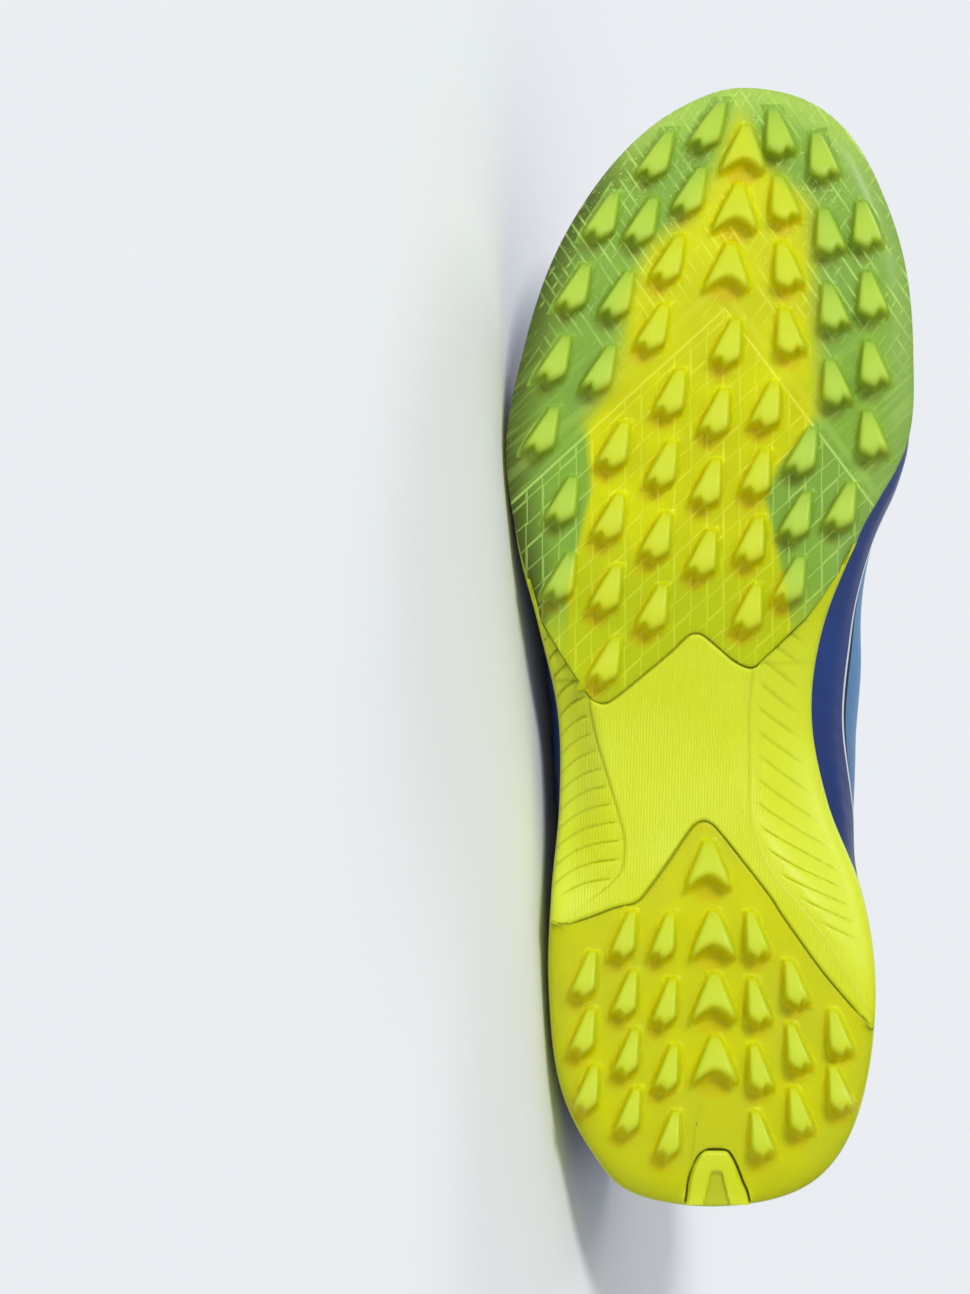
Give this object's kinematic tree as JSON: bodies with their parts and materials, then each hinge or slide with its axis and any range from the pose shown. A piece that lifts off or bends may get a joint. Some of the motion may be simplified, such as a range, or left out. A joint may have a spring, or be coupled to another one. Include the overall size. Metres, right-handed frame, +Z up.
{
  "type": "turf shoe",
  "caption": "Low laced turf shoe for the right foot, lying on its outer side: two lugged rubber outsoles, ribbed midsole arch and a smooth coated upper.",
  "frame": {"origin": "centre of the bounding box's underside, on the floor that the shoe's outer side lies on", "axes": "+Y from heel to toe, +X from the sole towards the collar, +Z up from the floor, towards the shoe's inner side"},
  "size_m": [0.1132, 0.28, 0.1023],
  "materials": {
    "forefoot_rubber": "translucent yellow-green rubber, glossy",
    "heel_rubber": "translucent yellow rubber, satin",
    "midsole_foam": "moulded yellow foam, satin",
    "coated_upper": "smooth coated synthetic, royal blue",
    "insole_fabric": "knit over foam",
    "tongue_fabric": "padded knit",
    "lace_cord": "flat woven lace"
  },
  "bodies": {
    "root": {"outsole_forefoot": "forefoot_rubber", "outsole_heel": "heel_rubber", "midsole": "midsole_foam", "upper": "coated_upper", "insole": "insole_fabric", "tongue": "tongue_fabric", "lace": "lace_cord"}
  },
  "joints": []
}
